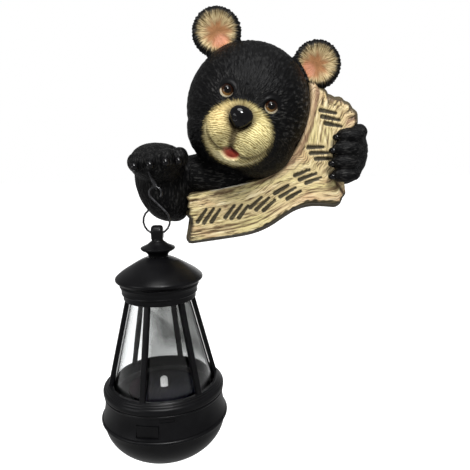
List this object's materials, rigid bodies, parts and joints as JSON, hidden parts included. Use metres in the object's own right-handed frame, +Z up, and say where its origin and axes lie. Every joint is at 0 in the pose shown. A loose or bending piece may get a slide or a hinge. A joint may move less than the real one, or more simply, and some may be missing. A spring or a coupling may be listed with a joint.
{
  "type": "wall-hung bear figure with solar lantern",
  "caption": "Wall-hung resin bear cub peering over a curved painted board, holding a tapered solar lantern on a wire hook.",
  "frame": {"origin": "on the flat back where it rests on the wall, just above the keyhole", "axes": "+Z up the wall, +Y into the wall, so the bear looks along -Y, +X to the viewer's right"},
  "size_m": [0.1852, 0.0947, 0.2996],
  "materials": {
    "bear_casting": "painted cast resin: matt black fur, cream muzzle, tan board",
    "eye": "polished amber dome over a dark pupil",
    "wire": "blackened steel wire",
    "lantern_plastic": "satin black moulded plastic",
    "clear_plastic": "clear moulded plastic",
    "solar_cell": "dark laminated cell",
    "led": "clear white lens"
  },
  "bodies": {
    "root": {"bear_casting": "bear_casting", "right_eye": "eye", "left_eye": "eye", "paw_eye": "wire", "s_hook": "wire", "finial": "lantern_plastic", "lantern_roof": "lantern_plastic", "lantern_cage": "lantern_plastic", "lantern_glazing": "clear_plastic", "base_housing": "lantern_plastic", "battery_hatch": "lantern_plastic", "switch_slider": "lantern_plastic", "base_bowl": "lantern_plastic", "solar_cell": "solar_cell", "led": "led"}
  },
  "joints": []
}
